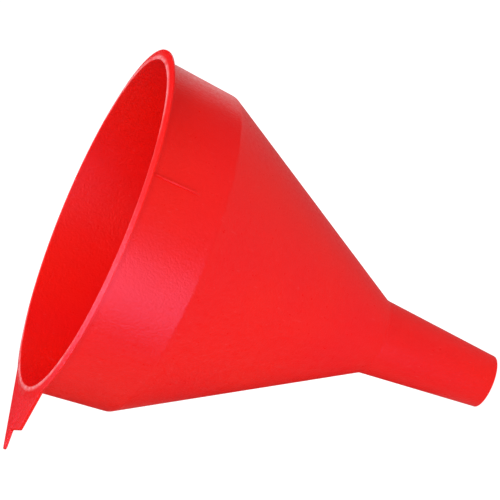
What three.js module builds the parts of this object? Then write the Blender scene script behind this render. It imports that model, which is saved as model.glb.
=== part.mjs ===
// Plastic funnel in millimetres, +Z up: the mouth is at the top, the outlet's end face lies on Z = 0 and
// the hanging tab points towards -X. The real funnel is one moulding. Each of its features is a closed
// solid of its own here, and neighbouring solids meet face to face on level planes.
import * as THREE from "three";

// Heights above the outlet's end face
const TOTAL_HEIGHT = 240;
const SHOULDER_HEIGHT = 195; // where the steep collar turns into the cone
const NECK_HEIGHT = 70.5; // where the cone turns into the spout
const LIP_HEIGHT = 2.2;

// Outside radii
const LIP_RADIUS = 100;
const MOUTH_RADIUS = 95.5;
const SHOULDER_RADIUS = 91.3;
const NECK_RADIUS = 21.4;
const OUTLET_RADIUS = 15.05;

const WALL = 1.7;
const LIP_EDGE = 1.0; // height of the lip's outer edge
const LIP_CREST = 0.9; // width of the level crest along the lip's inner edge
const LIP_CREST_EASE = 0.5; // chamfer between the crest and the inside wall

// Rings share these angles, so that a facet of one lies on a facet of its neighbour
const SIDES = 180;
const SIDE_ANGLE = 360 / SIDES;

// Hanging tab. Its outline is seen from above: its two roots on the lip in degrees from +X, then its
// free corners.
const TAB_THICKNESS = 1.6;
const TAB_FAR_ROOT = 150;
const TAB_NEAR_ROOT = 204;
const TAB_CORNERS = [
  { x: -115.2, y: -25.7, round: 1.5 }, // outer corner of the step
  { x: -118.4, y: -4.6, round: 1.5 }, // inner corner of the step, at the root of the hook's finger
  { x: -128.4, y: -6.6, round: 1.0 }, // fingertip, near side
  { x: -129.8, y: -4.0, round: 1.0 }, // fingertip, far side
];

// Stacking ribs on the outside of the collar, one each side of the tab
const RIB_ANGLE = 69; // from +X, in degrees: the middle of one of the collar's facets
const RIB_WIDTH = 1.2;
const RIB_HEIGHT = 1.1; // how far it stands out of the wall
const RIB_LENGTH = 27.5;
const RIB_RUN_OUT = 3; // its lower end slopes back to the wall over this length

const plastic = new THREE.MeshStandardMaterial({ color: 0xd81e22, roughness: 0.38, metalness: 0 });

const radians = THREE.MathUtils.degToRad;

// The outside of the wall from the outlet to the mouth, as (radius, height)
const outside = [
  new THREE.Vector2(OUTLET_RADIUS, 0),
  new THREE.Vector2(NECK_RADIUS, NECK_HEIGHT),
  new THREE.Vector2(SHOULDER_RADIUS, SHOULDER_HEIGHT),
  new THREE.Vector2(MOUTH_RADIUS, TOTAL_HEIGHT),
];
const inside = insetProfile(outside, WALL);

// The direction from a wall's outside to its inside, square to the stretch from one point to the next.
function inwardNormal(from, to) {
  const along = new THREE.Vector2().subVectors(to, from).normalize();
  return new THREE.Vector2(-along.y, along.x);
}

// The profile moved inwards by the wall's thickness: mitred at its corners, cut level at its two ends.
function insetProfile(profile, wall) {
  const last = profile.length - 1;
  return profile.map((point, i) => {
    if (i === 0 || i === last) {
      const normal = inwardNormal(profile[Math.max(i - 1, 0)], profile[Math.max(i, 1)]);
      return new THREE.Vector2(point.x + wall / normal.x, point.y);
    }
    const before = inwardNormal(profile[i - 1], point);
    const after = inwardNormal(point, profile[i + 1]);
    const mitre = wall / (1 + before.dot(after));
    return point.clone().add(before.add(after).multiplyScalar(mitre));
  });
}

function radiusAt(profile, height) {
  const upper = profile.findIndex((point, i) => i > 0 && point.y >= height);
  const low = profile[upper - 1];
  const high = profile[upper];
  return THREE.MathUtils.mapLinear(height, low.y, high.y, low.x, high.x);
}

// The part of a profile between two heights, from the lower to the upper.
function profileBetween(profile, low, high) {
  return [
    new THREE.Vector2(radiusAt(profile, low), low),
    ...profile.filter((point) => point.y > low && point.y < high),
    new THREE.Vector2(radiusAt(profile, high), high),
  ];
}

// A closed section, listed up its outside and down its inside, spun about Z.
function spin(section) {
  const closed = [...section, section[0]];
  return new THREE.LatheGeometry(closed, SIDES).rotateX(Math.PI / 2);
}

function wallBetween(low, high) {
  return spin([
    ...profileBetween(outside, low, high),
    ...profileBetween(inside, low, high).reverse(),
  ]);
}

function makeMesh(name, geometry) {
  const mesh = new THREE.Mesh(geometry, plastic);
  mesh.name = name;
  return mesh;
}

// The rolled lip: a level crest at the inner edge, then a slope down to a short upright edge. Its underside
// has a corner where the collar's outside meets it, so the part beyond the collar is a face of its own.
function makeLip() {
  const bottom = TOTAL_HEIGHT - LIP_HEIGHT;
  const crestInner = radiusAt(inside, TOTAL_HEIGHT) + LIP_CREST_EASE;
  const easeHeight = TOTAL_HEIGHT - LIP_CREST_EASE;
  return spin([
    new THREE.Vector2(radiusAt(outside, bottom), bottom),
    new THREE.Vector2(LIP_RADIUS, bottom),
    new THREE.Vector2(LIP_RADIUS, bottom + LIP_EDGE),
    new THREE.Vector2(crestInner + LIP_CREST, TOTAL_HEIGHT),
    new THREE.Vector2(crestInner, TOTAL_HEIGHT),
    new THREE.Vector2(radiusAt(inside, easeHeight), easeHeight),
    new THREE.Vector2(radiusAt(inside, bottom), bottom),
  ]);
}

// A point on the lip's outer edge, at an angle from +X in degrees.
function onLip(angle) {
  return new THREE.Vector2(LIP_RADIUS, 0).rotateAround(new THREE.Vector2(), radians(angle));
}

// A flat plate level with the top of the lip's outer edge. Its inner side follows the lip's facets, and its
// stepped outline makes an open hook.
function makeTab() {
  const outline = new THREE.Shape();
  const farRoot = onLip(TAB_FAR_ROOT);
  outline.moveTo(farRoot.x, farRoot.y);
  for (let angle = TAB_FAR_ROOT + SIDE_ANGLE; angle <= TAB_NEAR_ROOT; angle += SIDE_ANGLE) {
    const point = onLip(angle);
    outline.lineTo(point.x, point.y);
  }
  TAB_CORNERS.forEach((corner, i) => {
    const here = new THREE.Vector2(corner.x, corner.y);
    const before = i === 0 ? onLip(TAB_NEAR_ROOT) : TAB_CORNERS[i - 1];
    const after = i === TAB_CORNERS.length - 1 ? farRoot : TAB_CORNERS[i + 1];
    const start = here.clone().add(new THREE.Vector2().subVectors(before, here).setLength(corner.round));
    const end = here.clone().add(new THREE.Vector2().subVectors(after, here).setLength(corner.round));
    outline.lineTo(start.x, start.y);
    outline.quadraticCurveTo(here.x, here.y, end.x, end.y);
  });
  outline.closePath();
  return new THREE.ExtrudeGeometry(outline, {
    depth: TAB_THICKNESS,
    bevelEnabled: false,
    curveSegments: 4,
  }).translate(0, 0, TOTAL_HEIGHT - LIP_HEIGHT + LIP_EDGE - TAB_THICKNESS);
}

// A thin fin whose back lies on one facet of the collar, from the lip's underside down to a sloping end.
function makeRib(angle) {
  const top = TOTAL_HEIGHT - LIP_HEIGHT;
  const bottom = top - RIB_LENGTH;
  const facetDistance = Math.cos(radians(SIDE_ANGLE / 2)); // of a facet's middle, as a share of its radius
  const backAt = (height) => radiusAt(outside, height) * facetDistance;
  const side = new THREE.Shape([
    new THREE.Vector2(backAt(bottom), bottom),
    new THREE.Vector2(backAt(bottom + RIB_RUN_OUT) + RIB_HEIGHT, bottom + RIB_RUN_OUT),
    new THREE.Vector2(backAt(top) + RIB_HEIGHT, top),
    new THREE.Vector2(backAt(top), top),
  ]);
  return new THREE.ExtrudeGeometry(side, { depth: RIB_WIDTH, bevelEnabled: false })
    .translate(0, 0, -RIB_WIDTH / 2)
    .rotateX(Math.PI / 2)
    .rotateZ(radians(angle));
}

const funnel = new THREE.Group();
funnel.add(
  makeMesh("rim_lip", makeLip()),
  makeMesh("collar", wallBetween(SHOULDER_HEIGHT, TOTAL_HEIGHT - LIP_HEIGHT)),
  makeMesh("cone", wallBetween(NECK_HEIGHT, SHOULDER_HEIGHT)),
  makeMesh("spout", wallBetween(0, NECK_HEIGHT)),
  makeMesh("hang_tab", makeTab()),
  makeMesh("stacking_rib_near", makeRib(-RIB_ANGLE)),
  makeMesh("stacking_rib_far", makeRib(RIB_ANGLE)),
);

export default funnel;
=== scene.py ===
import math

import bmesh
import bpy
from mathutils import Matrix, Vector


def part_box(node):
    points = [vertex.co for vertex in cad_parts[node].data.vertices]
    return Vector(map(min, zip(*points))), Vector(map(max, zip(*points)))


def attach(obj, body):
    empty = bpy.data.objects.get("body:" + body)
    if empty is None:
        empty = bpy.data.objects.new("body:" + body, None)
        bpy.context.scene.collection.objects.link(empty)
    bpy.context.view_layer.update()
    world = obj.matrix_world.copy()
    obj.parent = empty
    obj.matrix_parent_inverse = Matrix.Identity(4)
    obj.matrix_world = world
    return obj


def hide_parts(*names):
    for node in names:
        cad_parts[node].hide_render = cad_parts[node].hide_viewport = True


# Lengths are in metres, in the CAD frame: the funnel's axis is Z and its outlet's end face lies on Z = 0.
MM = 0.001

# Camera. Its lens and sensor are in millimetres.
CAMERA_PLACE = Vector((0, -1.396, 0.512))
CAMERA_AIM = Vector((0.0182, 0, 0.1531))
CAMERA_ROLL = math.radians(67.7)
CAMERA_LENS = 191.5
CAMERA_SENSOR = 36
CAMERA_SIGHT = 30  # how far it sees

# Wall
OUTER_NECK_FILLET = 6 * MM
OUTER_SHOULDER_FILLET = 5 * MM
LIP_FILLET = 0.7 * MM  # where the collar meets the lip's underside
OUTLET_EASE = 0.5 * MM

# Lip
CREST_EASE = 0.7 * MM
SLOPE_EASE = 1 * MM
LIP_EDGE_EASE = 0.2 * MM

# Tab and ribs
TAB_OVERLAP = 0.8 * MM  # how far the tab's root reaches into the lip
TAB_EASE = 0.45 * MM
RIB_STANDS = 0.5 * MM  # a rib's free corners stand out of the wall by more than this
RIB_EASE = 0.5 * MM

# Fineness of the meshes
TURNS = 288  # facets round the axis
WALL_STEP = 5 * MM
ARC_STEP = math.radians(3)
EASE_SEGMENTS = 3
ROUND_PROFILE = 0.5  # the bevel tool's value for a round edge
WELD = 1e-6
ROOT_TOLERANCE = 1e-5
FLAT_ANGLE = math.radians(0.5)
SHARP_ANGLE = math.radians(35)

# Plastic: its colours
DEEP_RED = (0.76, 0.004, 0.006, 1)
WARM_RED = (0.80, 0.007, 0.003, 1)
SCUFFED_RED = (0.86, 0.10, 0.11, 1)
# The pale pink of the painted highlight on the lip's crest
CREST_HIGHLIGHT_PINK = (0.90, 0.30, 0.30, 1)
SCUFF_PALENESS = (0, 0.12)  # the share of the scuffed red, off a scuff and on it

# Plastic: its noises, whose scale is the number of features in a metre
DRIFT = {"scale": 14, "detail": 3}
DRAW_LINES = {"scale": 420, "detail": 3, "stretch": (1, 1, 0.03)}
GRAIN = {"scale": 800, "detail": 2}
RIPPLE = {"scale": 260, "detail": 2}
SCUFFS = {"scale": 700, "detail": 2, "stretch": (1, 0.06, 0.35), "turn": (0.5, 0.2, 0.9)}
# The patches of the painted highlight on the lip's crest
CREST_HIGHLIGHT_PATCHES = {"scale": 160, "detail": 3}

# Ranges of a noise's value
WHOLE = (0, 1)
MIDDLE = (0.3, 0.7)
CORE = (0.35, 0.65)
RARE_PEAKS = (0.68, 0.74)

# Plastic: its gloss, and the depths of its relief
SPECULAR = 0.16
DRAW_LINE_ROUGHNESS = (0.34, 0.42)
GRAIN_ROUGHNESS = (-0.08, 0.08)
SCUFF_ROUGHNESS = (0, 0.12)
GRAIN_DEPTH = 0.25 * MM
RIPPLE_DEPTH = 0.06 * MM
DRAW_LINE_DEPTH = 0.03 * MM
GRAIN_STRENGTH = 0.8
RIPPLE_STRENGTH = 0.3
DRAW_LINE_STRENGTH = 0.2

# The painted highlight on the lip's crest: pale pink painted into the plastic's colour
CREST_HIGHLIGHT_DEPTH = 0.4 * MM  # how far down from the crest it reaches
CREST_HIGHLIGHT_GROWS = (50 * MM, 75 * MM)  # the distances along X, from the axis, between which it grows
CREST_HIGHLIGHT_TOWARDS_ENDS = (0.15, 1)  # its strength before and after that
CREST_HIGHLIGHT_IN_PATCHES = (0.3, 0.8)  # its strength in its faintest and palest patches

# Floor
FLOOR_SIDE = 16
FLOOR_GREY = (0.3, 0.3, 0.3, 1)
FLOOR_ROUGHNESS = 0.9
FLOOR_GLOW = 0.9

# World: a direction's height, where 1 is straight up, and the light that comes from there
WORLD_HEIGHTS = (0.1, 0.5)
WORLD_LIGHT = (1, 0.5)

WHITE = (1, 1, 1, 1)

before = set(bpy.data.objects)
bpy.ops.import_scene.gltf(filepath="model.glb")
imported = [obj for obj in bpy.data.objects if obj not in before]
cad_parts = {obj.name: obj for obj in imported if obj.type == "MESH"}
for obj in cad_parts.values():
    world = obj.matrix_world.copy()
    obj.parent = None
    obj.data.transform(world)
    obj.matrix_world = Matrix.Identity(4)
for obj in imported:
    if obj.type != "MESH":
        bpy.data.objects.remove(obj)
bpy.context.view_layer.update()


# ---------------------------------------------------------------- paths

def ring_radii(node, height):
    """The inner and outer radius of a spun CAD node at one of its corner heights."""
    radii = [
        v.co.xy.length
        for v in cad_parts[node].data.vertices
        if abs(v.co.z - height) < WELD
    ]
    return min(radii), max(radii)


def arc(start, end, centre):
    """Points from start to end, both included, round a centre."""
    first = start - centre
    last = end - centre
    steps = max(2, math.ceil(first.angle(last) / ARC_STEP))
    return [centre + first.slerp(last, i / steps) * first.length for i in range(steps + 1)]


def eased_corner(before, corner, after, radius):
    """The points that replace a corner when it is rounded to a radius."""
    if radius == 0:
        return [corner]
    back = (before - corner).normalized()
    onward = (after - corner).normalized()
    half = back.angle(onward) / 2
    reach = radius / math.tan(half)
    centre = corner + (back + onward).normalized() * (radius / math.sin(half))
    return arc(corner + back * reach, corner + onward * reach, centre)


def open_path(corners):
    """A path through (point, fillet radius) corners. Its two ends stay as they are."""
    path = [corners[0][0]]
    for (before, _), (corner, radius), (after, _) in zip(corners, corners[1:], corners[2:]):
        path += eased_corner(before, corner, after, radius)
    return path + [corners[-1][0]]


def closed_path(corners):
    """A closed section through (point, fillet radius) corners."""
    path = []
    for i, (corner, radius) in enumerate(corners):
        after = corners[(i + 1) % len(corners)][0]
        path += eased_corner(corners[i - 1][0], corner, after, radius)
    return path


def inset(points, wall):
    """The points of a wall's outside moved to its inside: mitred at corners, cut level at the ends."""
    normals = []
    for low, high in zip(points, points[1:]):
        along = (high - low).normalized()
        normals.append(Vector((-along.y, along.x)))
    moved = [points[0] + Vector((wall / normals[0].x, 0))]
    for point, before, after in zip(points[1:], normals, normals[1:]):
        moved.append(point + (before + after) * (wall / (1 + before.dot(after))))
    return moved + [points[-1] + Vector((wall / normals[-1].x, 0))]


def radius_at(path, height):
    """The radius of a rising path at a height."""
    for low, high in zip(path, path[1:]):
        if low.y <= height <= high.y:
            return low.x + (high.x - low.x) * (height - low.y) / (high.y - low.y)
    raise ValueError(f"the path has no height {height}")


def between(path, low, high):
    """The part of a rising path between two heights."""
    first, last = [Vector((radius_at(path, height), height)) for height in (low, high)]
    return [first] + [p for p in path if low + WELD < p.y < high - WELD] + [last]


def with_steps(path, longest):
    """A closed path with its long stretches divided."""
    divided = []
    for start, end in zip(path, path[1:] + path[:1]):
        pieces = max(1, math.ceil((end - start).length / longest))
        divided += [start.lerp(end, i / pieces) for i in range(pieces)]
    return divided


# ---------------------------------------------------------------- meshes

def mesh_object(name, mesh):
    """A smooth-shaded object, sharp where its faces meet at a steep angle."""
    mesh.shade_smooth()
    mesh.set_sharp_from_angle(angle=SHARP_ANGLE)
    piece = bpy.data.objects.new(name, mesh)
    bpy.context.scene.collection.objects.link(piece)
    return piece


def spun(name, section):
    """A closed (radius, height) section, listed up its outside and down its inside, turned about Z."""
    section = with_steps(section, WALL_STEP)
    turns = [2 * math.pi * k / TURNS for k in range(TURNS)]
    verts = [(p.x * math.cos(t), p.x * math.sin(t), p.y) for t in turns for p in section]
    count = len(section)
    faces = []
    for k in range(TURNS):
        here = k * count
        there = (k + 1) % TURNS * count
        for i in range(count):
            j = (i + 1) % count
            faces.append((here + i, there + i, there + j, here + j))
    mesh = bpy.data.meshes.new(name)
    mesh.from_pydata(verts, [], faces)
    return mesh_object(name, mesh)


def copied(node):
    """A CAD node's mesh with its flat faces joined, ready to be eased."""
    shape = bmesh.new()
    shape.from_mesh(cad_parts[node].data)
    bmesh.ops.remove_doubles(shape, verts=shape.verts, dist=WELD)
    bmesh.ops.dissolve_limit(shape, angle_limit=FLAT_ANGLE, verts=shape.verts, edges=shape.edges)
    return shape


def ease_edges(shape, edges, size):
    """Rounds some edges of a shape, starting a size away from each."""
    bmesh.ops.bevel(
        shape,
        geom=edges,
        offset=size,
        segments=EASE_SEGMENTS,
        profile=ROUND_PROFILE,
        affect="EDGES",
    )


def finished(shape, name):
    """A copied and eased shape as an object."""
    mesh = bpy.data.meshes.new(name)
    shape.to_mesh(mesh)
    shape.free()
    return mesh_object(name, mesh)


# ---------------------------------------------------------------- measures of the frame

LIP_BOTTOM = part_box("rim_lip")[0].z
LIP_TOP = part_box("rim_lip")[1].z
LIP_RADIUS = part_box("rim_lip")[1].x
LIP_EDGE_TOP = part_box("hang_tab")[1].z
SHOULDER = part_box("collar")[0].z
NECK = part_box("cone")[0].z
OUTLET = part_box("spout")[0].z


def wall_paths():
    """The wall's outside and inside from the outlet to the mouth, filleted at the neck and shoulder."""
    outlet, neck, shoulder, below_lip = [
        Vector((ring_radii(node, height)[1], height))
        for node, height in (
            ("spout", OUTLET),
            ("cone", NECK),
            ("collar", SHOULDER),
            ("collar", LIP_BOTTOM),
        )
    ]
    # The outlet's end face is level, so the wall is thinner than that face is wide.
    inner_radius, outer_radius = ring_radii("spout", OUTLET)
    wall = (outer_radius - inner_radius) * (neck - outlet).normalized().y

    collar_slope = (below_lip - shoulder).normalized()
    mouth = below_lip + collar_slope * ((LIP_TOP - LIP_BOTTOM) / collar_slope.y)
    corners = [outlet, neck, shoulder, mouth]
    outer_fillets = (0, OUTER_NECK_FILLET, OUTER_SHOULDER_FILLET, 0)
    inner_fillets = (0, OUTER_NECK_FILLET + wall, OUTER_SHOULDER_FILLET - wall, 0)
    outer = open_path(list(zip(corners, outer_fillets)))
    inner = open_path(list(zip(inset(corners, wall), inner_fillets)))
    return outer, inner


OUTSIDE, INSIDE = wall_paths()


# ---------------------------------------------------------------- pieces

def wall_section(low, high):
    """The wall between two heights as a closed section, its corners still square."""
    return between(OUTSIDE, low, high) + between(INSIDE, low, high)[::-1]


def make_spout():
    """The outlet tube, eased round both edges of its end face."""
    section = wall_section(OUTLET, NECK)
    end_corners = (0, len(section) - 1)
    return spun("spout_tube", closed_path([
        (point, OUTLET_EASE if i in end_corners else 0) for i, point in enumerate(section)
    ]))


def make_cone():
    """The cone. Its two fillets run on into the spout and the collar."""
    return spun("cone_wall", wall_section(NECK, SHOULDER))


def make_collar():
    """The collar flares into the lip's underside in a small fillet."""
    section = wall_section(SHOULDER, LIP_BOTTOM)
    top = section.index(max(section, key=lambda p: (p.y, p.x)))
    along_lip = section[top] + Vector((2 * LIP_FILLET, 0))
    flare = eased_corner(section[top - 1], section[top], along_lip, LIP_FILLET)
    return spun("collar_wall", section[:top] + flare + section[top + 1:])


def make_lip():
    """The rolled lip: an eased crest, a long rounded slope and a short upright edge."""
    crest_outer = Vector((ring_radii("rim_lip", LIP_TOP)[1], LIP_TOP))
    crest_inner = Vector((radius_at(INSIDE, LIP_TOP - WELD), LIP_TOP))
    return spun("rolled_lip", closed_path([
        (Vector((LIP_RADIUS, LIP_BOTTOM)), LIP_EDGE_EASE),
        (Vector((LIP_RADIUS, LIP_EDGE_TOP)), LIP_EDGE_EASE),
        (crest_outer, SLOPE_EASE),
        (crest_inner, CREST_EASE),
        (Vector((radius_at(INSIDE, LIP_BOTTOM), LIP_BOTTOM)), 0),
    ]))


def make_tab():
    """The CAD tab with its free edges eased and its root pushed a little way into the lip."""
    shape = copied("hang_tab")
    root = {v for v in shape.verts if abs(v.co.xy.length - LIP_RADIUS) < ROOT_TOLERANCE}
    free_edges = [
        e for e in shape.edges
        if abs(e.verts[0].co.z - e.verts[1].co.z) < WELD and not set(e.verts) <= root
    ]
    for vertex in root:
        vertex.co.xy *= (LIP_RADIUS - TAB_OVERLAP) / LIP_RADIUS
    ease_edges(shape, free_edges, TAB_EASE)
    return finished(shape, "tab_plate")


def make_rib(node):
    """The CAD rib with the edges of its outer face eased."""
    shape = copied(node)
    standing = {
        v for v in shape.verts if v.co.xy.length - radius_at(OUTSIDE, v.co.z) > RIB_STANDS
    }
    ease_edges(shape, [e for e in shape.edges if set(e.verts) <= standing], RIB_EASE)
    return finished(shape, node + "_fin")


# ---------------------------------------------------------------- shader nodes

def new_material(name):
    """A material with an empty node tree."""
    material = bpy.data.materials.new(name)
    material.use_nodes = True
    material.node_tree.nodes.clear()
    return material, material.node_tree


def add(tree, kind, inputs=None, **settings):
    """A shader node with its settings, and with each input set to a value or linked from a socket."""
    node = tree.nodes.new(kind)
    for key, value in settings.items():
        setattr(node, key, value)
    for key, value in (inputs or {}).items():
        if isinstance(value, bpy.types.NodeSocket):
            tree.links.new(value, node.inputs[key])
        else:
            node.inputs[key].default_value = value
    return node


def noise(tree, place, scale, detail, stretch=(1, 1, 1), turn=(0, 0, 0)):
    """A noise, drawn out along the axes where its stretch is small."""
    mapped = add(tree, "ShaderNodeMapping", {"Vector": place, "Scale": stretch, "Rotation": turn})
    return add(tree, "ShaderNodeTexNoise", {
        "Vector": mapped.outputs["Vector"],
        "Scale": scale,
        "Detail": detail,
    }).outputs["Fac"]


def ranged(tree, value, source, target):
    """A value taken from one (low, high) range to another, and held inside it."""
    return add(tree, "ShaderNodeMapRange", {
        "Value": value,
        "From Min": source[0],
        "From Max": source[1],
        "To Min": target[0],
        "To Max": target[1],
    }).outputs["Result"]


def calculated(tree, operation, *values):
    """One or two values put through a mathematical operation."""
    inputs = dict(enumerate(values))
    return add(tree, "ShaderNodeMath", inputs, operation=operation).outputs["Value"]


def mixed(tree, factor, first, second):
    """A colour between two others."""
    inputs = {"Factor": factor, "A": first, "B": second}
    return add(tree, "ShaderNodeMix", inputs, data_type="RGBA").outputs["Result"]


def bumped(tree, height, strength, depth, below=None):
    """A relief, laid over the one below it where there is one."""
    inputs = {"Height": height, "Strength": strength, "Distance": depth}
    if below is not None:
        inputs["Normal"] = below
    return add(tree, "ShaderNodeBump", inputs).outputs["Normal"]


# ---------------------------------------------------------------- plastic

def painted_crest_highlight(tree, place):
    """The painted highlight on the lip's crest: how far its colour goes to pale pink, only on the crest,
    and most at the tab and opposite it.
    """
    position = add(tree, "ShaderNodeSeparateXYZ", {"Vector": place})
    on_crest = ranged(tree, position.outputs["Z"], (LIP_TOP - CREST_HIGHLIGHT_DEPTH, LIP_TOP), WHOLE)
    from_axis = calculated(tree, "ABSOLUTE", position.outputs["X"])
    near_ends = ranged(tree, from_axis, CREST_HIGHLIGHT_GROWS, CREST_HIGHLIGHT_TOWARDS_ENDS)
    patches = ranged(tree, noise(tree, place, **CREST_HIGHLIGHT_PATCHES), CORE, CREST_HIGHLIGHT_IN_PATCHES)
    return calculated(tree, "MULTIPLY", on_crest, calculated(tree, "MULTIPLY", near_ends, patches))


def plastic_colour(tree, place, scuffs):
    """Two reds that drift into each other, paler on the scuffs, with a painted highlight in pale pink on
    the lip's crest.
    """
    drift = ranged(tree, noise(tree, place, **DRIFT), MIDDLE, WHOLE)
    red = mixed(tree, drift, DEEP_RED, WARM_RED)
    scuffed = mixed(tree, ranged(tree, scuffs, WHOLE, SCUFF_PALENESS), red, SCUFFED_RED)
    # Painted highlight: the crest's colour is mixed towards pale pink
    return mixed(tree, painted_crest_highlight(tree, place), scuffed, CREST_HIGHLIGHT_PINK)


def plastic_roughness(tree, draw_lines, grain, scuffs):
    """The roughness follows the draw lines, the grain and the scuffs."""
    along_lines = ranged(tree, draw_lines, MIDDLE, DRAW_LINE_ROUGHNESS)
    with_grain = calculated(tree, "ADD", along_lines, ranged(tree, grain, CORE, GRAIN_ROUGHNESS))
    return calculated(tree, "ADD", with_grain, ranged(tree, scuffs, WHOLE, SCUFF_ROUGHNESS))


def plastic_relief(tree, place, draw_lines, grain):
    """A matt moulded grain, a soft ripple and the draw lines, one over the other."""
    relief = bumped(tree, grain, GRAIN_STRENGTH, GRAIN_DEPTH)
    relief = bumped(tree, noise(tree, place, **RIPPLE), RIPPLE_STRENGTH, RIPPLE_DEPTH, relief)
    return bumped(tree, draw_lines, DRAW_LINE_STRENGTH, DRAW_LINE_DEPTH, relief)


def plastic():
    """Red polyethylene: slow shifts of colour, draw lines down the mould, fine grain and light scuffs."""
    material, tree = new_material("red_polyethylene")
    place = add(tree, "ShaderNodeTexCoord").outputs["Object"]
    draw_lines = noise(tree, place, **DRAW_LINES)
    grain = noise(tree, place, **GRAIN)
    scuffs = ranged(tree, noise(tree, place, **SCUFFS), RARE_PEAKS, WHOLE)
    shader = add(tree, "ShaderNodeBsdfPrincipled", {
        "Base Color": plastic_colour(tree, place, scuffs),
        "Roughness": plastic_roughness(tree, draw_lines, grain, scuffs),
        "Normal": plastic_relief(tree, place, draw_lines, grain),
        "Specular IOR Level": SPECULAR,
    })
    add(tree, "ShaderNodeOutputMaterial", {"Surface": shader.outputs["BSDF"]})
    return material


# ---------------------------------------------------------------- stage

def flat_sheet(name, corner, along, up):
    """A four-sided sheet, from a corner and the two sides that leave it."""
    mesh = bpy.data.meshes.new(name)
    mesh.from_pydata([corner, corner + along, corner + along + up, corner + up], [], [(0, 1, 2, 3)])
    sheet = bpy.data.objects.new(name, mesh)
    bpy.context.scene.collection.objects.link(sheet)
    return sheet


def make_floor():
    """A pale floor that glows like a light table, so that shadows hardly show on it."""
    corner = Vector((-FLOOR_SIDE / 2, -FLOOR_SIDE / 2, 0))
    floor = flat_sheet("floor", corner, Vector((FLOOR_SIDE, 0, 0)), Vector((0, FLOOR_SIDE, 0)))
    material, tree = new_material("pale_floor")
    shader = add(tree, "ShaderNodeBsdfPrincipled", {
        "Base Color": FLOOR_GREY,
        "Roughness": FLOOR_ROUGHNESS,
        "Specular IOR Level": 0,
        "Emission Color": WHITE,
        "Emission Strength": FLOOR_GLOW,
    })
    add(tree, "ShaderNodeOutputMaterial", {"Surface": shader.outputs["BSDF"]})
    floor.data.materials.append(material)
    return floor


def softbox(name, place, aim, size, power, colour=(1, 1, 1), gloss_only=False):
    """A rectangular light at a place, turned to its aim. The camera never sees it."""
    data = bpy.data.lights.new(name, "AREA")
    data.color = colour
    data.shape = "RECTANGLE"
    data.size, data.size_y = size
    data.energy = power
    light = bpy.data.objects.new(name, data)
    light.location = place
    light.rotation_euler = (Vector(aim) - Vector(place)).to_track_quat("-Z", "Y").to_euler()
    light.visible_camera = False
    light.visible_diffuse = not gloss_only
    bpy.context.scene.collection.objects.link(light)


def make_lights():
    """A key light behind the camera, one over the mouth, and two that make the collar's and lip's sheen."""
    softbox("key", place=(-0.5, -2.3, 1.2), aim=(0, 0, 0.15), size=(1.2, 1.2), power=17)
    softbox(
        "overhead", place=(0.4, -0.2, 1.6), aim=(0, 0, 0.2), size=(0.8, 0.8), power=17,
        colour=(0.95, 0.9, 1),
    )
    softbox(
        "collar_sheen", place=(-0.195, -0.393, 0.15), aim=(0, -0.06, 0.2), size=(0.3, 0.3), power=2.4,
        colour=(0.3, 0.5, 1), gloss_only=True,
    )
    softbox(
        "lip_sheen", place=(-0.16, 0.573, 1.06), aim=(-0.04, -0.08, 0.24), size=(0.16, 0.3), power=4.5,
        colour=(0.8, 0.6, 1), gloss_only=True,
    )


def card(name, corner, along, up, brightness=0, in_gloss=True):
    """A card that the camera can't see. Either the object's gloss or its soft light sees it."""
    piece = flat_sheet(name, Vector(corner), Vector(along), Vector(up))
    material, tree = new_material(name)
    shader = add(tree, "ShaderNodeEmission", {"Strength": brightness})
    add(tree, "ShaderNodeOutputMaterial", {"Surface": shader.outputs["Emission"]})
    piece.data.materials.append(material)
    piece.visible_camera = False
    piece.visible_shadow = False
    piece.visible_glossy = in_gloss
    piece.visible_diffuse = not in_gloss


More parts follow.
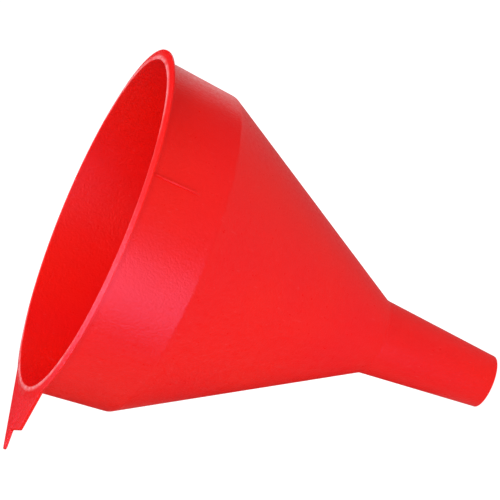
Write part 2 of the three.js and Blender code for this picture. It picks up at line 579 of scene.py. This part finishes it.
def make_cards():
    """Grey and black cards that keep white out of the red gloss, and a grey one that shades the +X side."""
    card("grey_floor", corner=(-2, -1, 0.0005), along=(2.3, 0, 0), up=(0, 6, 0), brightness=0.25)
    card("near_floor_flag", corner=(-0.6, -0.3, 0.001), along=(0.55, 0, 0), up=(0, 0.68, 0))
    card("far_floor_flag", corner=(-1.2, 0.38, 0.001), along=(0.9, 0, 0), up=(0, 0.82, 0))
    card("right_flag", corner=(0.25, -0.15, 0.09), along=(0, 0.27, 0), up=(0, 0, 0.21))
    card("back_flag", corner=(-0.8, 0.6, 0.26), along=(1.6, 0, 0), up=(0, 0, 0.94))
    card(
        "right_shade", corner=(0.3, -0.6, 0.002), along=(0, 1.2, 0), up=(0, 0, 0.6), brightness=0.57,
        in_gloss=False,
    )


def make_camera():
    """The camera, rolled so that the upright funnel lies on its side in the picture."""
    data = bpy.data.cameras.new("camera")
    data.lens = CAMERA_LENS
    data.sensor_width = CAMERA_SENSOR
    data.clip_end = CAMERA_SIGHT
    camera = bpy.data.objects.new("camera", data)
    ahead = (CAMERA_AIM - CAMERA_PLACE).normalized()
    upright = ahead.to_track_quat("-Z", "Y").to_matrix()
    turned = upright @ Matrix.Rotation(-CAMERA_ROLL, 3, "Z")
    camera.matrix_world = Matrix.Translation(CAMERA_PLACE) @ turned.to_4x4()
    bpy.context.scene.collection.objects.link(camera)
    bpy.context.scene.camera = camera


def make_world():
    """A studio that is white near the horizon and dimmer overhead."""
    world = bpy.data.worlds.new("studio")
    world.use_nodes = True
    tree = world.node_tree
    direction = add(tree, "ShaderNodeTexCoord").outputs["Generated"]
    height = add(tree, "ShaderNodeSeparateXYZ", {"Vector": direction}).outputs["Z"]
    background = tree.nodes["Background"]
    tree.links.new(ranged(tree, height, WORLD_HEIGHTS, WORLD_LIGHT), background.inputs["Strength"])
    background.inputs["Color"].default_value = WHITE
    bpy.context.scene.world = world
    bpy.context.scene.view_settings.view_transform = "Standard"


# ---------------------------------------------------------------- scene

make_camera()
make_world()
make_lights()
make_cards()
make_floor()

red = plastic()
pieces = {
    "rim_lip": make_lip(),
    "collar": make_collar(),
    "cone": make_cone(),
    "spout": make_spout(),
    "hang_tab": make_tab(),
    "stacking_rib_near": make_rib("stacking_rib_near"),
    "stacking_rib_far": make_rib("stacking_rib_far"),
}
for node, piece in pieces.items():
    piece.data.materials.append(red)
    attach(piece, "root")
    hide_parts(node)
